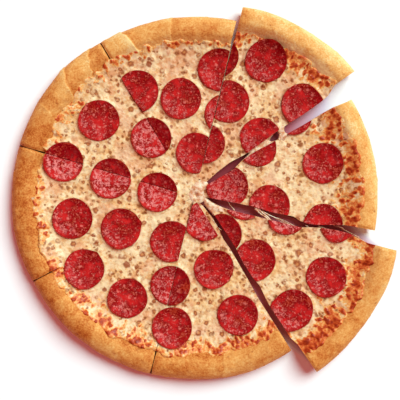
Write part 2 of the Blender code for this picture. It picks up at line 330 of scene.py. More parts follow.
def slab(top, under, wall_rows, wall_relief):
    """A closed slab: a fine grid on top, walls down its edge, and a coarse grid below.

    A wall row is the edge of the top blended towards the edge of the underside, and moved
    out by wall_relief(points, depth). Returns the points, the faces, how many points the
    top, the walls and the underside have."""
    rows, columns = top.shape[:2]
    fine = np.arange(rows * columns).reshape(rows, columns)
    ring = rim_of(fine)
    upper = top.reshape(-1, 3)[ring]
    lower = under.reshape(-1, 3)[ring]
    ahead = np.roll(upper, -1, axis=0) - np.roll(upper, 1, axis=0)
    outwards = np.column_stack((ahead[:, 1], -ahead[:, 0])) / np.maximum(
        np.hypot(ahead[:, 0], ahead[:, 1]), 1e-6)[:, None]
    depth = np.arange(1, wall_rows + 1)[:, None] / wall_rows
    walls = upper[None] * (1 - depth[..., None]) + lower[None] * depth[..., None]
    walls[..., :2] += outwards[None] * wall_relief(walls, depth)[..., None]
    wall = fine.size + np.arange(wall_rows * len(ring)).reshape(wall_rows, len(ring))
    rings = np.vstack((ring, wall))
    down = np.stack((rings[:-1], rings[1:], np.roll(rings[1:], -1, 1),
                     np.roll(rings[:-1], -1, 1)), -1)
    sparse = under[::COARSE, ::COARSE].copy()
    middle = sparse[..., :2].reshape(-1, 2).mean(axis=0)
    sparse[..., :2] += UNDERSIDE_INSET * (middle - sparse[..., :2])
    coarse = fine.size + wall.size + np.arange(sparse[..., 0].size).reshape(sparse.shape[:2])
    inner = rim_of(coarse)
    outer = rings[-1]
    collar = np.column_stack(
        [outer[::COARSE], inner, np.roll(inner, -1)]
        + [np.roll(outer, -back)[::COARSE] for back in range(COARSE, 0, -1)])
    above = np.stack((fine[:-1, :-1], fine[1:, :-1], fine[1:, 1:], fine[:-1, 1:]), -1)
    below = np.stack((coarse[:-1, :-1], coarse[:-1, 1:], coarse[1:, 1:], coarse[1:, :-1]), -1)
    points = np.vstack((top.reshape(-1, 3), walls.reshape(-1, 3), sparse.reshape(-1, 3)))
    faces = [above.reshape(-1, 4), down.reshape(-1, 4), collar, below.reshape(-1, 4)]
    return points, faces, (fine.size, wall.size, coarse.size)


def add_object(name, data):
    """A new object in the scene, at its origin, unturned and unscaled."""
    made = bpy.data.objects.new(name, data)
    bpy.context.scene.collection.objects.link(made)
    return made


def make_piece(name, points, faces, material, marks=None):
    """A mesh from points in millimetres and arrays of faces, each array's faces alike in size."""
    mesh = bpy.data.meshes.new(name)
    sizes = np.concatenate([np.full(len(f), f.shape[1]) for f in faces])
    corners = joined(*faces)
    mesh.vertices.add(len(points))
    mesh.vertices.foreach_set("co", (points * METRE + MIDDLE).astype(np.float32).reshape(-1))
    mesh.loops.add(len(corners))
    mesh.loops.foreach_set("vertex_index", corners.astype(np.int32))
    mesh.polygons.add(len(sizes))
    mesh.polygons.foreach_set("loop_start", (np.cumsum(sizes) - sizes).astype(np.int32))
    mesh.update(calc_edges=True)
    for mark, values in (marks or {}).items():
        layer = mesh.attributes.new(mark, "FLOAT", "POINT")
        layer.data.foreach_set("value", values.astype(np.float32))
    mesh.shade_smooth()
    mesh.set_sharp_from_angle(angle=math.radians(SHARP_ANGLE))
    mesh.materials.append(material)
    piece = add_object(name, mesh)
    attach(piece, "root")
    return piece


def rim_relief(angle, along):
    """Height of the rim's unevenness over its smooth section, and how pale it is.

    Broad humps, bubbles and fine grain, and at each fold a step that fades over a finger's
    width on one side. The raised side of a fold is paler."""
    spread = np.dstack((angle * ROUND_RADIUS, along))
    relief = 0.5 * layered_noise(spread, 22.0, 11) + 0.2 * layered_noise(spread, 6.0, 15)
    relief += 0.07 * noise(spread, 1.8, 18)
    away, lot = cells(spread, 11.0, 21)
    relief += 0.5 * mound(away, 0.32) * (lot > 0.72)
    pale = np.zeros(along.shape)
    for direction, slant, step in FOLDS:
        past = turned_from(direction, angle) * ROUND_RADIUS + slant * (along - 18.0)
        past += 1.4 * noise(spread[..., ::-1], 6.0, 29)
        side = step * smooth_step(-0.8, 0.8, past) * np.exp(-np.maximum(past, 0.0) / 15.0)
        relief += side
        pale += side
    return relief, pale


def crumb_pores(walls, depth):
    """Pores of the crumb in a cut face: dents up to 0.6 millimetres, none at its edges."""
    along = walls[..., 0] + 0.7 * walls[..., 1]
    away, lot = cells(np.dstack((along, walls[..., 2] * 1.3)), 2.4, 33)
    return -0.6 * mound(away, 0.45) * (0.3 + 0.7 * lot) * np.sin(np.pi * depth)


def crust_surfaces(piece):
    """Upper and lower surface of a slice's crust, and how browned the upper one is, with painted
    light.

    Rows run from the tip along the flat base, then up the rim's section. The rim's points
    move along the section's normal by the relief, and a turn's slow bulges and humps, and
    near a cut the rim falls away to a rounded edge. On the right the rim's slopes are painted
    paler, the inner one most: painted light."""
    along = np.linspace(0.0, SECTION_LENGTH, RIM_ROWS)[:, None]
    place, radius, _, _ = fan(piece, CRUST_RISE, BASE_ROWS + 1, CRUST_COLUMNS)
    place, radius = place[:-1], radius[:-1]

    def rim_surface(section, normal, relief_share):
        reach, rays = along_rays(piece, section[:, :1], CRUST_COLUMNS)
        _, radius, angle = on_round(piece, reach, rays)
        relief, pale = rim_relief(angle, np.broadcast_to(along, angle.shape))
        relief = relief * relief_share
        swell = smooth_step(CRUST_RISE, 168.0, radius) * waves(angle, RIM_BULGES)
        radii = section[:, :1] + swell + relief * normal[:, :1]
        reach, _ = along_rays(piece, radii, CRUST_COLUMNS)
        place, _, _ = on_round(piece, reach, rays)
        raised = smooth_step(146.0, 160.0, radius) * smooth_step(2.0, 18.0, section[:, 1:])
        height = section[:, 1:] + raised * waves(angle, RIM_HUMPS) + relief * normal[:, 1:]
        cut = np.minimum(*piece.away_from_cuts(place))
        height = height - 1.5 * np.exp(-((cut / 1.6) ** 2)) * smooth_step(8.0, 14.0, height)
        return np.dstack((place, height)), pale

    upper = smooth_curve(UPPER_SECTION, RIM_ROWS)
    slope = np.gradient(upper, axis=0)
    upper_normal = np.column_stack((-slope[:, 1], slope[:, 0])) / np.hypot(*slope.T)[:, None]
    rim_top, pale = rim_surface(upper, upper_normal, smooth_step(0.0, 12.0, along))
    lower = smooth_curve(LOWER_SECTION, RIM_ROWS)
    low_share = 0.6 * smooth_step(0.75, 0.98, along / SECTION_LENGTH)
    rim_under, _ = rim_surface(lower, np.array([[1.0, 0.0]]), low_share)
    top = np.vstack((np.dstack((place, flat_height(radius))), rim_top))
    under = np.vstack((np.dstack((place, np.zeros(radius.shape))), rim_under))
    for surface, closed in ((top, -math.inf), (under, HALF_KERF - 0.02)):
        surface[..., :2] = bulged(piece, surface[..., :2], 0.0, closed)
    pale = np.vstack((np.zeros(radius.shape), pale))
    own = top[..., :2] - piece.shift
    wide, _ = polar(own)
    # Painted light: the rim's slopes on the right are painted paler, the inner slope most.
    slopes = smooth_step(162.0, 152.0, wide) + 0.6 * smooth_step(170.0, 178.0, wide)
    right = np.maximum(own[..., 0] + own[..., 1], 0.0) / (DIAGONAL * wide + 1.0)
    return top, under, oven(top, 4) - 0.6 * pale - 0.4 * slopes * right


class Signal:
    """An output of a shader node. Arithmetic on it adds Math nodes, and node() adds any other."""

    def __init__(self, tree, socket=None):
        self.tree = tree
        self.socket = socket

    def node(self, kind, settings=None, inputs=None, output=0):
        """A node of that kind: its settings are set first, then its inputs get values or links."""
        made = self.tree.nodes.new(kind)
        for name, value in (settings or {}).items():
            if name == "stops":
                for _ in range(len(value) - 2):
                    made.color_ramp.elements.new(0.5)
                for element, (position, colour) in zip(made.color_ramp.elements, value):
                    element.position = position
                    element.color = colour
            else:
                setattr(made, name, value)
        for name, value in (inputs or {}).items():
            if isinstance(value, Signal):
                self.tree.links.new(value.socket, made.inputs[name])
            else:
                made.inputs[name].default_value = value
        return Signal(self.tree, made.outputs[output])

    def maths(self, operation, *values):
        return self.node("ShaderNodeMath", {"operation": operation}, dict(enumerate(values)))

    def vector(self, operation, other):
        return self.node("ShaderNodeVectorMath", {"operation": operation}, {0: self, 1: other})

    def __add__(self, other):
        return self.maths("ADD", self, other)

    def __sub__(self, other):
        return self.maths("SUBTRACT", self, other)

    def __rsub__(self, other):
        return self.maths("SUBTRACT", other, self)

    def __mul__(self, other):
        return self.maths("MULTIPLY", self, other)

    __radd__ = __add__
    __rmul__ = __mul__

    def step(self, low, high, start=0.0, end=1.0):
        """Start on the low side, end on the high side, and a smooth S between them."""
        return self.node("ShaderNodeMapRange", {"interpolation_type": "SMOOTHSTEP"},
                         {0: self, 1: low, 2: high, 3: start, 4: end})

    def ramp(self, *stops):
        """A colour for each value, blended between stops of a value and a colour."""
        return self.node("ShaderNodeValToRGB", {"stops": stops}, {0: self})

    def blend(self, first, second):
        """The first colour where this is 0 and the second where it is 1."""
        return self.node("ShaderNodeMix", {"data_type": "RGBA", "clamp_factor": True},
                         {0: self, 6: first, 7: second}, 2)

    def grain(self, size, detail=3.0, roughness=0.55, output=0):
        """Noise about 0.5 on these coordinates, its broadest lumps that many millimetres."""
        return self.node("ShaderNodeTexNoise", {}, {
            "Vector": self, "Scale": 1.0 / (size * METRE), "Detail": detail,
            "Roughness": roughness}, output)

    def stirred(self, size, amount):
        """These coordinates pushed about by noise of that size, by that many millimetres."""
        push = self.grain(size, 2.0, 0.5, 1).vector("SUBTRACT", (0.5, 0.5, 0.5))
        return self.vector("ADD", push.vector("MULTIPLY", (2 * amount * METRE,) * 3))

    def spots(self, size, low, high, share, shift=0.0):
        """Round spots, one in each flat cell of that size: full inside low, none past high.

        Distances are in cells. Only that share of the cells has one, and some are three times
        as wide as others."""
        place = self.vector("ADD", (shift, shift, 0.0))
        near = place.node("ShaderNodeTexVoronoi", {"voronoi_dimensions": "2D"},
                          {"Vector": place, "Scale": 1.0 / (size * METRE)})
        lot = Signal(self.tree, near.socket.node.outputs["Color"])
        lot = lot.node("ShaderNodeSeparateColor", {}, {0: lot})
        width = Signal(self.tree, lot.socket.node.outputs[1])
        spot = (near * (1.7 - width * 1.15)).step(low, high, 1.0, 0.0)
        return spot * lot.step(0.98 - share, 1.0 - share)

    def bump(self, strength, distance):
        """A normal bent by this height, whose full range is that many millimetres."""
        return self.node("ShaderNodeBump", {}, {
            "Strength": strength, "Distance": distance * METRE, "Height": self})


def seen(red, green, blue):
    """The shader's colour for a surface that should be seen, level and lit, as this one.

    From 0 to 255 as a screen shows it, to linear, less what the light adds."""
    share = np.array((red, green, blue)) / 255.0
    linear = np.where(share <= 0.04045, share / 12.92, ((share + 0.055) / 1.055) ** 2.4)
    return (*(float(value) / LIGHT_LEVEL for value in linear), 1.0)


def painted(colour, *coats):
    """A colour under coats of others, each with how much it covers and how it is seen."""
    for cover, coat in coats:
        colour = cover.blend(colour, seen(*coat))
    return colour


def new_material(name, roughness, **constants):
    """A material, its shader with these constants, and a signal of the object's coordinates."""
    material = bpy.data.materials.new(name)
    material.use_nodes = True
    shader = material.node_tree.nodes["Principled BSDF"]
    shader.inputs["Roughness"].default_value = roughness
    for socket, value in constants.items():
        shader.inputs[socket.replace("_", " ")].default_value = value
    place = Signal(material.node_tree).node("ShaderNodeTexCoord", output=3)
    return material, shader, place


def mark(place, name):
    """The value that a mesh keeps at its points under that name."""
    return place.node("ShaderNodeAttribute", {"attribute_name": name}, output=2)


def feed(shader, **signals):
    """Links each signal to the shader's socket of that name."""
    for socket, signal in signals.items():
        shader.id_data.links.new(signal.socket, shader.inputs[socket.replace("_", " ")])


def crust_material():
    """Golden baked skin with a sandy grain and toasted specks, and pale open crumb inside."""
    material, shader, at = new_material("baked_crust", 0.6, Specular_IOR_Level=0.1)
    # The browned mark also holds painted light: paler rim slopes on the right.
    browned, crumb = mark(at, "browned"), mark(at, "crumb")
    stirred = at.stirred(9.0, 3.0)
    broad = stirred.grain(24.0, 3.0)
    middling = stirred.grain(7.0, 3.0, 0.6)
    sand = at.grain(1.7, 2.0, 0.8)
    baked = browned + (broad - 0.5) * 1.1 + (middling - 0.5) * (browned * 0.9 + 0.2)
    baked = baked + (sand - 0.5) * 1.1
    skin = baked.ramp((0.0, seen(255, 216, 148)), (0.25, seen(247, 184, 106)),
                      (0.5, seen(233, 156, 80)), (0.75, seen(213, 122, 52)),
                      (1.0, seen(176, 76, 20)))
    toasted = stirred.spots(8.0, 0.05, 0.17, 0.2) * middling.step(0.4, 0.6) * 0.6
    skin = painted(skin, (toasted, (168, 84, 34)))
    hole = at.grain(1.8, 3.0, 0.7)
    inside = hole.step(0.35, 0.6).blend(seen(206, 158, 98), seen(250, 228, 182))
    feed(shader, Base_Color=crumb.step(0.1, 0.35).blend(skin, inside),
         Roughness=sand.step(0.3, 0.7, 0.5, 0.72),
         Normal=(sand * 0.9 + middling * 0.5).bump(0.6, 0.6))
    return material


CRUST_SKIN = crust_material()
for slice_name, piece in SLICES.items():
    # Browning of each crust, with painted light on its slopes on the right.
    top, under, browned = crust_surfaces(piece)
    points, faces, counts = slab(top, under, CRUST_WALL_ROWS, crumb_pores)
    depth = np.arange(1, CRUST_WALL_ROWS + 1)[:, None] / CRUST_WALL_ROWS
    cut_open = np.zeros(browned.shape)
    open_sides = [melted < TOUCHING for _, _, _, melted in piece.cuts]
    cut_open[:-OUTER_ROWS, 0], cut_open[:-OUTER_ROWS, -1] = open_sides
    crumb = rim_of(cut_open) * np.sin(np.pi * np.clip(depth, 0.03, 0.97))
    low_brown = rim_of(browned) + (1.4 - 1.15 * rim_of(cut_open)) * depth
    crust = make_piece("baked_crust_" + slice_name, points, faces, CRUST_SKIN, {
        "browned": joined(browned, low_brown, np.full(counts[2], HIDDEN_BROWN)),
        "crumb": joined(np.zeros(counts[0]), crumb, np.zeros(counts[2])),
    })
    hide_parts("crust_" + slice_name)


# Sauce. A thin coat of cooked tomato, spread with a ladle over the flat of the dough before the
# cheese goes on. It shows only as a dark red line between the two at the cuts.
SAUCE_REACH = 146.0
SAUCE_LEVEL = 0.95
SAUCE_DEPTH = 0.4
SAUCE_ROWS = 53
SAUCE_COLUMNS = 81
SAUCE_WALL_ROWS = 2


def base_height(radius):
    """Height of the smooth crust at a distance from the middle, level past its crest."""
    rising = smooth_curve(UPPER_SECTION[:7], 90)
    return np.where(radius < CRUST_RISE, flat_height(radius),
                    np.interp(radius, rising[:, 0], rising[:, 1]))


def sauce_swell(walls, depth):
    """Sauce is squeezed out at a cut by up to a fifth of a millimetre."""
    return 0.08 + 0.12 * noise(walls, 3.0, 37)


def sauce_material():
    """Dark tomato red, wet, with darker and more orange patches."""
    material, shader, at = new_material("tomato_sauce", 0.3)
    patches = at.grain(3.0, 3.0, 0.6)
    feed(shader, Base_Color=patches.step(0.35, 0.65).blend(seen(120, 22, 14), seen(186, 60, 28)))
    return material


SAUCE = sauce_material()
for slice_name, piece in SLICES.items():
    place, radius, _, _ = fan(piece, SAUCE_REACH, SAUCE_ROWS, SAUCE_COLUMNS)
    spread = bulged(piece, place, 0.5)
    top = np.dstack((spread, base_height(radius) + SAUCE_LEVEL))
    under = np.dstack((spread, base_height(radius) - SAUCE_DEPTH))
    points, faces, _ = slab(top, under, SAUCE_WALL_ROWS, sauce_swell)
    make_piece("tomato_sauce_" + slice_name, points, faces, SAUCE)


# Cheese. Shredded mozzarella melts into one layer over the sauce: soft lumps, blisters that
# brown on top, and a craggy band at the rim where it fries in its own fat and turns orange.
CHEESE_RADIUS = 155.0
CHEESE_THICKNESS = 3.2
LAYER_GAP = 0.35
CHEESE_ROWS = 209
CHEESE_COLUMNS = 165
CHEESE_WALL_ROWS = 3
PEPPERONI = {
    "n": ((24.6, 125, 20.6), (30.3, 81.3, 20.2), (-12.9, 96.8, 20.1), (-55.2, 103.9, 20.5),
          (-42.1, 58.2, 19.9), (2, 43.3, 19.8)),
    "nw": ((-93.5, 75.2, 20.1), (-42.1, 58.2, 19.9), (-128, 34.4, 19.3), (-82, 18.2, 20),
           (-36.1, 4.8, 19.4)),
    "w": ((-128, 34.4, 19.3), (-82, 18.2, 20), (-36.1, 4.8, 19.4), (-119.5, -21.2, 19.8),
          (-71.9, -31, 19.8), (-107.8, -70.8, 19.6)),
    "sw": ((-22.9, -43.7, 20.1), (-65.4, -99.5, 19.5), (-23.2, -87.1, 19.5)),
    "s": ((10.5, -23.4, 19.7), (18.9, -71.1, 19), (43.2, -115.9, 19.8), (-23.2, -87.1, 19.5),
          (-21.5, -128.2, 19.8)),
    "se": ((50, -2.3, 20.2), (92, -17.2, 19.9), (141.8, -27.1, 19.9), (27.3, -36.5, 19.8),
           (60, -62, 20.3), (130, -78.7, 19.8), (97.2, -110.8, 20)),
    "e": ((98.2, 79, 20.1), (62.2, 49.2, 19.9), (126.7, 33.2, 19.8), (33.1, 9.9, 20.3),
          (74.4, -8.1, 19.9), (126.4, -26.8, 19.9)),
    "ne": ((70.8, 133.6, 20.6), (23.4, 137.7, 20.5), (33.8, 93.7, 20.8), (10.9, 52.8, 19.6),
           (106, 91, 20.2), (65.2, 58.3, 19.9)),
}
WHOLE = (("w", 4), ("w", 5), ("s", 4))


def cheese_edge(place, angle):
    """Where the cheese ends: as far as the oven's table says, in lobes and crags."""
    arc = np.stack((angle * ROUND_RADIUS, 0 * angle), -1)
    return oven(place, 1) + 2.6 * layered_noise(arc, 14.0, 41, 2) + 1.5 * noise(arc, 4.5, 44)


def inside_pepperoni(slice_name, place):
    """How far inside the nearest round of pepperoni a place is, in millimetres."""
    rounds = PEPPERONI[slice_name] + tuple(PEPPERONI[other][k] for other, k in WHOLE)
    return np.max([radius - polar(place - (x, y))[0] for x, y, radius in rounds], axis=0)


def cheese_surface(place, own, radius, left, covered):
    """Height of the cheese and how it browned, at places and their spots on their own round.

    The layer thins towards its edge. On it lie lumps, domed blisters and, in a band inside
    the edge, small crags, each with a lot of its own for its height and how dark it fried.
    Under a round of pepperoni all of it is pressed flat, and round it stands a soft lip."""
    heat = oven(place, 3)
    layer = CHEESE_THICKNESS * (1 - 0.5 * smooth_step(16.0, 3.0, left)) * (1 - np.exp(-left / 3.0))
    lumps = 0.42 * layered_noise(own, 13.0, 51) + 0.34 * noise(own, 4.2, 55)
    lumps += 0.2 * noise(own, 2.1, 56)
    shaken = own + 0.8 * np.dstack((noise(own, 3.0, 57), noise(own, 3.0, 58)))
    away, lot = cells(shaken, 10.0, 61)
    size = 0.12 + 0.13 * ((lot * 7.3) % 1.0)
    present = lot > 0.66 - 0.1 * heat
    dome = mound(away, size) * present
    ring = np.exp(-(((away / size - 0.7) / 0.4) ** 2)) * present
    small_away, small_lot = cells(own, 4.4, 67)
    small = mound(small_away, 0.34) * (small_lot > 0.5)
    inwards = 1.0 - left / (oven(place, 2) * (1.0 + 0.3 * noise(own, 16.0, 71)))
    wide, angle = polar(own)
    stretched = np.dstack((angle * 150.0, wide * 0.8))
    stretched += 1.2 * np.dstack((noise(own, 3.0, 72), noise(own, 3.0, 74)))
    crag_away, crag_lot = cells(stretched, 3.9, 73)
    crag = mound(crag_away, 0.62)
    patch = layered_noise(own, 11.0, 79, 2)
    band = smooth_step(0.0, 0.7, inwards + 0.6 * patch + 0.5 * (crag_lot - 0.5) - 0.05)
    band *= smooth_step(-0.5, 0.15, inwards)
    fried = smooth_step(0.45 - 0.3 * heat, 0.85 - 0.2 * heat, crag_lot + 0.15 * patch)
    toast = band * (0.1 + 0.56 * fried * (0.12 + 0.88 * crag) + 0.34 * heat * (0.9 + 0.7 * patch))
    toast = np.maximum(toast, 0.22 * smooth_step(4.0, 0.5, left))
    relief = lumps + 0.8 * np.sqrt(dome) + 0.3 * small + band * (0.2 + 1.1 * crag * crag_lot)
    relief *= 1.0 - 0.7 * smooth_step(2.5, 0.0, left)
    outside = np.minimum(covered + 0.3, 0.0)
    lip = (1.0 + 0.6 * noise(own, 5.0, 81)) * np.exp(-((outside / 2.6) ** 2))
    relief += lip * smooth_step(0.0, 6.0, left)
    pressed = smooth_step(0.2, 1.8, covered)
    relief = relief * (1.0 - pressed) - 0.35 * pressed
    sunk = 0.6 * smooth_step(1.6, 0.0, left)
    height = base_height(radius) + LAYER_GAP - sunk + layer + relief * smooth_step(0.0, 1.5, left)
    blister = np.clip(ring * 0.8 + 0.35 * small * (0.4 + heat), 0.0, 1.0)
    open_air = 1.0 - smooth_step(-0.6, 1.0, covered)
    return height, toast * open_air, blister * open_air


def melted_swell(walls, depth):
    """A cut through cheese sags a little: it swells out by up to an eighth of a millimetre."""
    return 0.12 * np.sin(np.pi * depth) * noise(walls, 2.5, 83)


def cheese_material():
    """Cream cheese with yellow oily patches, brown specks and blisters, and fried crags."""
    material, shader, at = new_material(
        "melted_cheese", 0.4, Subsurface_Weight=0.1, Subsurface_Scale=0.002,
        Subsurface_Radius=(1.0, 0.5, 0.25), Specular_IOR_Level=0.2)
    toast, blister, heat = mark(at, "toast"), mark(at, "blister"), mark(at, "heat")
    stirred = at.stirred(4.0, 1.6)
    torn = stirred.stirred(2.2, 0.8)
    broad = stirred.grain(16.0, 3.0, 0.6)
    middling = stirred.grain(5.0, 3.0, 0.6)
    fine = at.grain(2.1, 2.0, 0.7)
    yellow = (broad * 0.45 + middling * 0.55 + heat * 0.08).step(0.43, 0.6) * (heat * 0.5 + 0.6)
    cream = yellow.blend(seen(255, 222, 174), seen(240, 166, 82))
    sunny = (at.grain(30.0, 2.0) + heat * 0.1).step(0.5, 0.62) * (heat * 0.7 + 0.1)
    shaded = middling.step(0.47, 0.6) * fine.step(0.42, 0.58) * (heat * 0.5 + 0.36)
    pink = stirred.grain(20.0, 2.0).step(0.48, 0.62) * (0.4 - heat * 0.5)
    crowd = (stirred.grain(15.0, 2.0) + heat * 0.12).step(0.46, 0.6)
    halo = torn.spots(6.0, 0.16, 0.5, 0.75) * (crowd * 0.55 + 0.05)
    speck = torn.spots(6.0, 0.14, 0.34, 0.75) * (crowd * 0.7 + 0.04)
    scorch = torn.spots(11.0, 0.13, 0.25, 0.6, 0.037) * middling.step(0.2, 0.45) * 0.9
    heart = torn.spots(11.0, 0.0, 0.14, 0.55, 0.037) * 0.7
    warm = painted(
        cream, (sunny, (250, 204, 120)), (shaded, (204, 118, 58)), (pink, (230, 146, 112)),
        (halo, (214, 130, 62)), (speck, (134, 62, 18)), (scorch, (160, 70, 26)),
        (heart, (236, 156, 90)), (blister * 0.8, (172, 86, 40)))
    fried = toast + (fine - 0.5) * 0.9 * toast.step(0.02, 0.25)
    crags = fried.ramp((0.0, seen(255, 218, 150)), (0.2, seen(250, 184, 104)),
                       (0.36, seen(238, 136, 68)), (0.54, seen(212, 88, 38)),
                       (0.76, seen(182, 60, 20)), (1.0, seen(146, 40, 12)))
    feed(shader, Base_Color=fried.step(0.06, 0.22).blend(warm, crags),
         Roughness=middling.step(0.35, 0.65, 0.3, 0.5),
         Normal=(fine * 0.8 + middling * 0.5).bump(0.5, 0.7))
    return material


CHEESE = cheese_material()
for slice_name, piece in SLICES.items():
    guess, rays = along_rays(piece, CHEESE_RADIUS, CHEESE_COLUMNS)
    place, _, angle = on_round(piece, guess, rays)
    place, radius, _, left = fan(piece, cheese_edge(place, angle), CHEESE_ROWS, CHEESE_COLUMNS)
    spread = bulged(piece, place, 1.0)
    covered = inside_pepperoni(slice_name, place)
    height, toast, blister = cheese_surface(place, spread - piece.shift, radius, left, covered)
    ground = base_height(radius) + 1.3 * smooth_step(2.0, 10.0, left) - 0.9
    top = np.dstack((spread, height))
    under = np.dstack((spread, ground))
    points, faces, counts = slab(top, under, CHEESE_WALL_ROWS, melted_swell)
    rest = np.zeros(counts[1] + counts[2])
    cheese = make_piece("melted_cheese_" + slice_name, points, faces, CHEESE, {
        "toast": joined(toast, rest),
        "blister": joined(blister, rest),
        "heat": joined(oven(top, 3), rest + 0.3),
    })
    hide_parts("cheese_" + slice_name)


# Pepperoni. Thin rounds of cured sausage, bright with paprika and flecked with fat, that curl
# up a little at the edge as they bake. The knife cuts some, and three lie whole over a cut.
PEPPERONI_THICKNESS = 1.9
PEPPERONI_CUP = 1.3
PEPPERONI_RINGS = 34
PEPPERONI_COLUMNS = 120
HUB_TURNS = 48
HUB_STEPS = 20
PEAK_WIDTH = 0.16
PEPPERONI_WAVES = ((0.010, 2, 0.0), (0.008, 3, 1.7), (0.005, 5, 0.9))
CHEESE_REACH = 151.8
FEELERS = (-4.0, -2.0, 0.0, 1.2)
PARTED = (("s", 0),)  # cut along the knife's line, while the cheese round it was drawn out
# Peaks in the outline of a round: direction in degrees and share of the radius
PEAKS = {("w", 4): (15.0, 0.08), ("w", 5): (52.0, 0.06), ("sw", 1): (140.0, 0.03)}
# Painted shade and painted sheen: how dark and how pale the meat is painted, where they differ
# from the other rounds
PAINTED_DARKNESS = {("n", 4): 0.9, ("nw", 2): 0.9, ("nw", 3): 0.8, ("nw", 4): 0.8, ("s", 3): 0.9,
            ("ne", 1): 1.0, ("w", 0): 0.1, ("w", 1): 0.1, ("w", 2): 0.1, ("nw", 1): 0.2,
            ("e", 3): 0.5, ("se", 0): 0.2, ("se", 1): 0.2, ("se", 3): 0.7, ("n", 2): 0.3}
PAINTED_SHEEN = {("w", 0): 0.8, ("w", 1): 0.9, ("w", 2): 0.8, ("nw", 1): 0.8, ("se", 0): 0.6,
         ("se", 1): 0.6, ("s", 0): 0.5, ("sw", 2): 0.5, ("n", 1): 0.3, ("e", 3): 0.4}


def stack_of_rings(rings):
    """Faces of a closed surface: rings of points one after another, and a point at each end."""
    count, around = rings.shape[:2]
    index = np.arange(count * around).reshape(count, around)
    ahead = np.roll(index, -1, axis=1)
    sides = np.stack((index[:-1], index[1:], ahead[1:], ahead[:-1]), -1).reshape(-1, 4)
    first, last = count * around, count * around + 1
    cap = np.column_stack((np.full(around, first), index[0], ahead[0]))
    end = np.column_stack((np.full(around, last), ahead[-1], index[-1]))
    points = np.vstack((rings.reshape(-1, 3), rings[0].mean(axis=0), rings[-1].mean(axis=0)))
    return points, [sides, cap, end]


def lying_height(place, shift):
    """Height at which something stiff lies: the highest cheese a feeler's length away."""
    radius, _ = polar(place - shift)
    return np.max([
        base_height(radius + feeler) + LAYER_GAP
        + CHEESE_THICKNESS * (1.0 - 0.35 * smooth_step(138.0, CHEESE_REACH, radius + feeler))
        for feeler in FEELERS], axis=0)


def hub_of(piece, centre, radius, crossing):
    """The point of a round that has the most room between its edge and the slice's cuts."""
    if not crossing:
        return centre
    turn, out = np.meshgrid(np.linspace(0, 2 * np.pi, HUB_TURNS, endpoint=False),
                            np.linspace(0, 1, HUB_STEPS))
    spots = centre + radius * np.dstack((out * np.cos(turn), out * np.sin(turn))).reshape(-1, 2)
    room = np.minimum(*piece.away_from_cuts(spots))
    return spots[np.argmax(np.minimum(room, radius - polar(spots - centre)[0]))]


def edge_reach(piece, here, hub, rays, centre, radius):
    """How far each ray from the hub goes before it meets the round's edge or a cut."""
    offset = hub - centre
    along = rays @ offset
    turn = 0.05 * (centre[0] - 2.0 * centre[1])
    peak_at, peak = PEAKS.get(here, (0.0, 0.0))
    reach = np.full(len(rays), float(radius))
    for _ in range(3):
        _, angle = polar(offset + reach[:, None] * rays)
        pointed = peak * np.exp(-((turned_from(peak_at, angle) / PEAK_WIDTH) ** 2))
        wavy = 1.0 + waves(angle + turn, PEPPERONI_WAVES) + pointed
        inside = along**2 - offset @ offset + (radius * wavy) ** 2
        reach = np.sqrt(np.maximum(inside, 0.01)) - along
    if here not in WHOLE:
        for (_, inwards, _, _), room in zip(piece.cuts, piece.away_from_cuts(hub)):
            closing = -(rays @ inwards)
            limit = room / np.maximum(closing, 1e-6)
            reach = np.where(closing > 1e-6, np.minimum(reach, limit), reach)
    return reach


def pepperoni_rings(piece, here, x, y, radius):
    """Rings from the middle of the top, over the edge and back to the middle underneath.

    Each ring is a share of the way from the hub to the outline. The top follows the cheese
    that it lies on, cups with the sixth power of the distance from the round's middle, and
    is rounded off at the round's own edge but square where the knife cut it."""
    centre = np.array((x, y))
    hub = hub_of(piece, centre, radius, here not in WHOLE)
    turn = np.linspace(0, 2 * np.pi, PEPPERONI_COLUMNS, endpoint=False)
    rays = np.column_stack((np.cos(turn), np.sin(turn)))
    reach = edge_reach(piece, here, hub, rays, centre, radius)
    out = joined(np.linspace(0.03, 0.97, PEPPERONI_RINGS), (0.985, 0.995, 1.0))
    shares = joined(out, (1.0, 1.0, 1.0), (0.98, 0.7, 0.3))
    depths = joined(np.zeros(len(out)), (0.3, 0.65, 0.9), (1.0, 1.0, 1.0))[:, None]
    place = hub + shares[:, None, None] * reach[None, :, None] * rays[None]
    away, angle = polar(place - centre)
    off = away / radius
    curl = PEPPERONI_CUP * off**6 * (0.6 + 0.4 * np.sin(2 * angle + 0.15 * (x - 2.0 * y)))
    own = place + 3 * centre
    relief = 0.3 * layered_noise(own, 9.0, 91) + 0.16 * noise(own, 2.2, 95)
    relief += 0.12 * noise(own, 1.3, 96)
    lying = lying_height(place, piece.shift)
    height = lying + LAYER_GAP + curl + PEPPERONI_THICKNESS * (1 - depths)
    height += (depths < 0.2) * (relief - 0.3 * smooth_step(0.95, 1.0, off))
    if here not in WHOLE + PARTED:
        place = bulged(piece, place)
    return np.dstack((place, height)), off


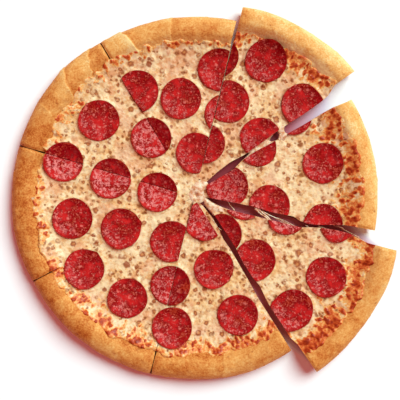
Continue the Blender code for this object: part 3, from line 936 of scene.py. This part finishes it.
def pepperoni_material():
    """Deep red meat with pale flecks of fat and painted glints, orange oil, painted shade and a
    painted sheen, darker at its casing.
    """
    material, shader, at = new_material("cured_pepperoni", 0.3, Specular_IOR_Level=0.02)
    off, painted_dark, bloom = mark(at, "off_middle"), mark(at, "darkness"), mark(at, "bloom")
    stirred = at.stirred(4.0, 2.0)
    broad = stirred.grain(11.0, 2.0)
    middling = stirred.grain(4.2, 3.0, 0.7)
    fine = at.grain(1.6, 2.0, 0.8)
    # Painted shade deepens the red.
    deep = (broad * 0.6 + middling * 0.4 + painted_dark * 0.12).step(0.38, 0.66)
    oily = (broad * 0.4 + middling * 0.25 + fine * 0.35).step(0.52, 0.6) * 0.4
    # Pale flecks: fat, and painted glints that painted shade dims and painted sheen brightens.
    fleck_and_glint = fine.step(0.54, 0.66) * middling.step(0.46, 0.56) * (0.75 - painted_dark * 0.6 + bloom)
    fat = stirred.spots(6.0, 0.05, 0.24, 0.4) * (1.0 - painted_dark * 0.6) * 0.7
    # Painted sheen: pale pink patches where the round would catch the lamp.
    sheen_patch = bloom * (middling * 0.6 + fine * 0.4).step(0.46, 0.58) * 0.75
    meat = painted(
        deep.blend(seen(212, 38, 36), seen(130, 0, 8)), (oily, (226, 80, 46)),
        (fleck_and_glint, (250, 140, 124)), (fat, (252, 138, 124)), (sheen_patch, (250, 146, 140)),
        (off.step(0.92, 0.99) * 0.25, (160, 40, 22)))
    feed(shader, Base_Color=meat, Roughness=middling.step(0.3, 0.7, 0.22, 0.45),
         Normal=(fine * 0.6 + middling * 0.8).bump(0.6, 0.7))
    return material


MEAT = pepperoni_material()
for slice_name, piece in SLICES.items():
    for number, (x, y, radius) in enumerate(PEPPERONI[slice_name]):
        here = (slice_name, number)
        rings, off = pepperoni_rings(piece, here, x, y, radius)
        points, faces = stack_of_rings(rings)
        name = f"pepperoni_{slice_name}_{number + 1}"
        off = joined(off, (0.0, 0.0))
        # Painted sheen towards the lower left of each round, painted shade towards its upper
        # right.
        away = (x + y - points[:, 0] - points[:, 1]) / (DIAGONAL * radius)
        sheen = PAINTED_SHEEN.get(here, 0.05) + 0.45 * smooth_step(0.1, 0.55, away)
        meat = make_piece("sliced_" + name, points, faces, MEAT, {
            "off_middle": off,
            "darkness": PAINTED_DARKNESS.get(here, 0.3) + 0.5 * smooth_step(0.1, 0.95, -away),
            "bloom": sheen * (1.0 - smooth_step(0.8, 0.96, off)),
        })
        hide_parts(name)


# Strings of cheese. Where the slices were drawn apart while hot, melted cheese still bridges
# the gaps: webs that sag between the two cut edges, and thin strings drawn out of them. Thin
# plum sheets on the table in the gaps are painted shadow that fades out towards the rim.
WEB_ROWS = 41
WEB_COLUMNS = 25
WEB_WALL_ROWS = 3
LUMP_RINGS = 24
LUMP_COLUMNS = 60
STRING_SIDES = 12
STRING_STEPS = 40
CHEESE_TOP = BASE_TOP + LAYER_GAP + CHEESE_THICKNESS
# Heights of the painted shadow sheets on the table
GAP_SHADOW_TOP = 0.45
GAP_SHADOW_UNDER = 0.05
TABLE_WHITE = (0.93, 0.93, 0.93, 1.0)
# Webs: slices above and below the gap, where they start and end along its cuts, and their sag
WEBS = (
    ("ne", "e", (62, 58), (95, 99), 1),
    ("ne", "e", (99, 101), (108, 112), 1.4),
)
# Lumps melted over the tips: outline, heart, and a dip's place, depth and width
LUMPS = (
    (((-4, 9), (2, 15), (8, 17), (13.5, 14), (13.5, 9), (11, 5),
      (12.5, -1), (8, -5), (2, -7), (-4, -4), (-6.5, 2)),
     (3.5, 4.5), (1.5, 2, 3.6, 1.9)),
    (((9, 0), (13.5, -2), (19, -5.9), (27.6, -9.9), (37.4, -13.8), (33.5, -17),
      (25, -15.8), (20, -18.7), (16.4, -14.8), (10.5, -7.5)),
     (17.5, -9.5), (27, -12, 0.8, 2)),
)
# Sheets of painted shadow on the table in the gaps: slices, where they start and end along both
# cuts, how faint they start and between which distances they fade out
GAP_SHADOWS = (
    ("ne", "e", (2, 2), (188, 178), 0, (72, 196)),
    ("e", "se", (16, 2), (174, 186), 0.22, (138, 174)),
    ("se", "s", (2, 12), (188, 176), 0.3, (158, 188)),
)
# Strings: from and to in millimetres, thickness at the ends, sag in the middle
STRINGS = (
    ((32, -3), (40, -13.5), 1.1, 1), ((60, -9), (77, -25), 3.4, 1),
    ((60, -11), (76, -24), 3, 1.2), ((67, -14), (98, -29), 1.2, 1.2),
    ((72, -17), (106, -31.5), 0.9, 1.5), ((78, -19.5), (92, -27), 0.7, 1.2),
    ((110, -28), (121, -34), 0.8, 0.8), ((122, -28.5), (133, -33), 0.8, 0.6),
    ((140, -27), (163, -40), 1.2, 1.2), ((144, -29), (168, -44), 0.9, 1.4),
    ((137, -27.5), (156, -36.5), 0.7, 1), ((18, -22), (27, -33), 0.8, 0.8),
)


def across_gap(upper, lower, starts, ends, along, across):
    """Places in the gap between the first cut of one slice and the last cut of another.

    Along and across are shares of the way: from a start to an end on either cut, and from
    one cut to the other."""
    edges = []
    for which, name in enumerate((upper, lower)):
        piece = SLICES[name]
        distance = starts[which] + (ends[which] - starts[which]) * along
        edges.append(bulged(piece, piece.apex + distance[..., None] * piece.cuts[which][0], 1.0))
    return edges[0] * (1 - across[..., None]) + edges[1] * across[..., None]


def web(upper, lower, starts, ends, sag):
    """A sheet between the first cut of one slice and the last cut of the other.

    Across, it blends from edge to edge, overlaps both, and sags with a parabola; along, its
    ends curve in towards the middle of the gap."""
    u = np.linspace(0.0, 1.0, WEB_ROWS)[:, None]
    t = np.linspace(-0.5, 1.5, WEB_COLUMNS)[None, :]
    inside = np.clip(t, 0.0, 1.0)
    hollow = 4.0 * inside * (1.0 - inside)
    pinched = 0.5 + (u - 0.5) * (1.0 - 0.35 * hollow)
    place = across_gap(upper, lower, starts, ends, pinched, t)
    over = np.clip(np.abs(t - 0.5) - 0.5, 0.0, 0.5) * 2.0
    lumps = 0.5 * layered_noise(place, 6.0, 101, 2)
    height = CHEESE_TOP + 0.7 + lumps * (1 - over) - sag * hollow - 2.2 * over**2
    height -= 1.2 * smooth_step(0.12, 0.0, np.minimum(u, 1 - u))
    thick = 1.6 + 2.0 * (1.0 - hollow)
    top = np.dstack((place, height))[:, ::-1]
    under = np.dstack((place, height - thick))[:, ::-1]
    return top, under


def lump_rings(outline, heart, dip):
    """Rings over and under a lump of cheese in which the slices' tips stay melted together.

    It is domed with the fourth power of the way from its heart, and its edge sinks in."""
    edge = smooth_curve(outline + outline[:1], LUMP_COLUMNS + 1)[:0:-1]
    shares = joined(np.linspace(0.05, 1.0, LUMP_RINGS), (0.97, 0.6, 0.2))[:, None]
    under = np.arange(len(shares))[:, None] >= LUMP_RINGS
    place = np.array(heart) + shares[..., None] * (edge - np.array(heart))
    x, y, deep, wide = dip
    hole = deep * np.exp(-((polar(place - (x, y))[0] / wide) ** 2))
    lumps = 0.6 * layered_noise(place, 5.0, 107, 2)
    height = CHEESE_TOP + 1.0 - 1.4 * shares**4 + lumps * (1.0 - shares**4) - hole
    return np.dstack((place, np.where(under, CHEESE_TOP - 3.0, height)))


def gap_shadow_sheet(upper, lower, starts, ends, faint_start, fade):
    """A thin sheet of painted shadow on the table across the gap between two slices, and how faint
    it is.

    Its faintness, from 0 to 1, grows from a first value as the painted shadow fades out along the
    gap."""
    u = np.linspace(0.0, 1.0, WEB_ROWS)[:, None]
    t = np.linspace(-0.02, 1.02, WEB_COLUMNS)[None, :]
    place = across_gap(upper, lower, starts, ends, u + 0 * t, t)
    along = starts[0] + (ends[0] - starts[0]) * u + 0 * t
    thinness = faint_start + (1.0 - faint_start) * smooth_step(*fade, along)
    top = np.dstack((place, np.full(along.shape, GAP_SHADOW_TOP)))
    under = np.dstack((place, np.full(along.shape, GAP_SHADOW_UNDER)))
    return top[:, ::-1], under[:, ::-1], thinness[:, ::-1]


def gap_shadow_material():
    """Painted shadow: plum red, clearing through mauve to the white of the table."""
    material, shader, at = new_material("painted_gap_shadow", 0.35, Specular_IOR_Level=0.1)
    thinness = mark(at, "thinness")
    feed(shader, Base_Color=thinness.ramp(
        (0.0, seen(150, 58, 66)), (0.3, seen(196, 108, 122)), (0.55, seen(216, 166, 182)),
        (0.8, seen(224, 206, 226)), (1.0, TABLE_WHITE)))
    return material


def string_rings(start, end, thickness, sag, number):
    """Rings round a hanging string: thick at its ends, thin in the middle, drooping between.

    It wanders a little to the side, and its ends sink into the cheese."""
    t = np.linspace(0.0, 1.0, STRING_STEPS)
    start, end = np.array(start), np.array(end)
    run = end - start
    side = np.array((-run[1], run[0])) / np.hypot(*run)
    wander = 0.8 * np.sin(np.pi * t) * math.sin(2.1 * number) + 0.3 * np.sin(9.0 * t + number)
    path = start + t[:, None] * run + (wander * 4 * t * (1 - t))[:, None] * side
    height = CHEESE_TOP + 0.5 - sag * 4 * t * (1 - t) - 1.4 * (2 * t - 1) ** 8
    size = 0.5 * thickness * (0.45 + 0.55 * (2 * t - 1) ** 2) * np.where(t * (1 - t) > 0, 1.0, 0.3)
    size *= 1 + 0.15 * noise(np.column_stack((20 * t, number * 7.0 + 0 * t)), 2.0, 103)
    turn = np.linspace(0, 2 * np.pi, STRING_SIDES, endpoint=False)
    rings = path[:, None, :] - size[:, None, None] * np.cos(turn)[None, :, None] * side
    up = height[:, None] + size[:, None] * np.sin(turn)[None, :]
    return np.dstack((rings, up))


def string_material():
    """Pale, slightly clear cheese with a wet sheen, streaked along with a little oil."""
    material, shader, at = new_material(
        "drawn_cheese", 0.3, Subsurface_Weight=0.25, Subsurface_Scale=0.002,
        Subsurface_Radius=(1.0, 0.55, 0.35), Specular_IOR_Level=0.35)
    streak = at.stirred(4.0, 1.5).grain(3.5, 3.0, 0.6)
    cream = streak.step(0.38, 0.62).blend(seen(252, 222, 188), seen(226, 156, 112))
    speck = at.spots(5.0, 0.08, 0.26, 0.35) * 0.6
    feed(shader, Base_Color=speck.blend(cream, seen(150, 98, 48)),
         Normal=streak.bump(0.4, 0.5))
    return material


DRAWN_CHEESE = string_material()
for number, (upper, lower, starts, ends, sag) in enumerate(WEBS):
    top, under = web(upper, lower, starts, ends, sag)
    points, faces, _ = slab(top, under, WEB_WALL_ROWS, melted_swell)
    strand = make_piece(f"cheese_web_{number + 1}", points, faces, DRAWN_CHEESE)
for number, (outline, heart, dip) in enumerate(LUMPS):
    points, faces = stack_of_rings(lump_rings(outline, heart, dip))
    strand = make_piece(f"cheese_lump_{number + 1}", points, faces, DRAWN_CHEESE)
# Painted shadow: plum sheets laid on the table in the gaps between slices.
GAP_SHADOW = gap_shadow_material()
for number, gap in enumerate(GAP_SHADOWS):
    top, under, thinness = gap_shadow_sheet(*gap)
    points, faces, counts = slab(top, under, 1, melted_swell)
    make_piece(f"painted_gap_shadow_{number + 1}", points, faces, GAP_SHADOW, {
        "thinness": joined(thinness, np.ones(counts[1] + counts[2]))})
for number, (start, end, thickness, sag) in enumerate(STRINGS):
    points, faces = stack_of_rings(string_rings(start, end, thickness, sag, number))
    strand = make_piece(f"cheese_string_{number + 1}", points, faces, DRAWN_CHEESE)


# Table, light and camera. A white table with a faint red glow of its own that tints its shadows
# rosy, one wide soft lamp from the upper right and a faint rosy fill; the camera hangs straight
# over the pizza with a long lens.
TABLE_SIZE = 12.0
TABLE_LEVEL = -0.0002
SUN_STRENGTH = 4.3
SUN_COLOUR = (0.70, 1.0, 1.0)
SUN_SOFTNESS = 40.0
SUN_HEIGHT = 48.0
SUN_DIRECTION = 46.0
FILL_COLOUR = (0.42, 0.11, 0.11, 1.0)
# The table's own faint red glow, which tints its shadows rosy.
TABLE_GLOW = (1.0, 0.03, 0.04, 1.0)
GLOW_STRENGTH = 0.05
LENS = 100.0
SENSOR = 36.0
PIXELS = 400
PIXEL = 0.985
OUTLINE_HEIGHT = 11.0
VIEW_CENTRE = (5.9, -3.0)

table_mesh = bpy.data.meshes.new("table")
half = TABLE_SIZE / 2
corners = ((-half, -half), (half, -half), (half, half), (-half, half))
table_mesh.from_pydata([(*corner, TABLE_LEVEL) for corner in corners], [], [(0, 1, 2, 3)])
table = add_object("table", table_mesh)
table_material, _, _ = new_material(
    "white_table", 0.8, Specular_IOR_Level=0.1, Base_Color=TABLE_WHITE,
    Emission_Color=TABLE_GLOW, Emission_Strength=GLOW_STRENGTH)
table_mesh.materials.append(table_material)

sun_data = bpy.data.lights.new("sun", "SUN")
sun_data.energy = SUN_STRENGTH
sun_data.color = SUN_COLOUR
sun_data.angle = math.radians(SUN_SOFTNESS)
sun = add_object("sun", sun_data)
sun.rotation_euler = (math.radians(90 - SUN_HEIGHT), 0.0, math.radians(SUN_DIRECTION + 90))

world = bpy.data.worlds.new("studio")
bpy.context.scene.world = world
world.use_nodes = True
sky = world.node_tree.nodes["Background"]
sky.inputs["Color"].default_value = FILL_COLOUR
air = Signal(world.node_tree)
backdrop = air.node("ShaderNodeBackground", {}, {"Color": (1.0, 1.0, 1.0, 1.0)})
direct = air.node("ShaderNodeLightPath", {}, {}, 0)
shown = air.node("ShaderNodeMixShader", {}, {
    0: direct, 1: Signal(air.tree, sky.outputs[0]), 2: backdrop})
air.tree.links.new(shown.socket, air.tree.nodes["World Output"].inputs["Surface"])

camera_data = bpy.data.cameras.new("camera")
camera_data.lens = LENS
camera_data.sensor_width = SENSOR
camera = add_object("camera", camera_data)
distance = PIXELS * PIXEL * LENS / SENSOR
camera.location = (
    MIDDLE[0] + VIEW_CENTRE[0] * METRE,
    MIDDLE[1] + VIEW_CENTRE[1] * METRE,
    (distance + OUTLINE_HEIGHT) * METRE,
)
bpy.context.scene.camera = camera
bpy.context.scene.view_settings.view_transform = "Standard"
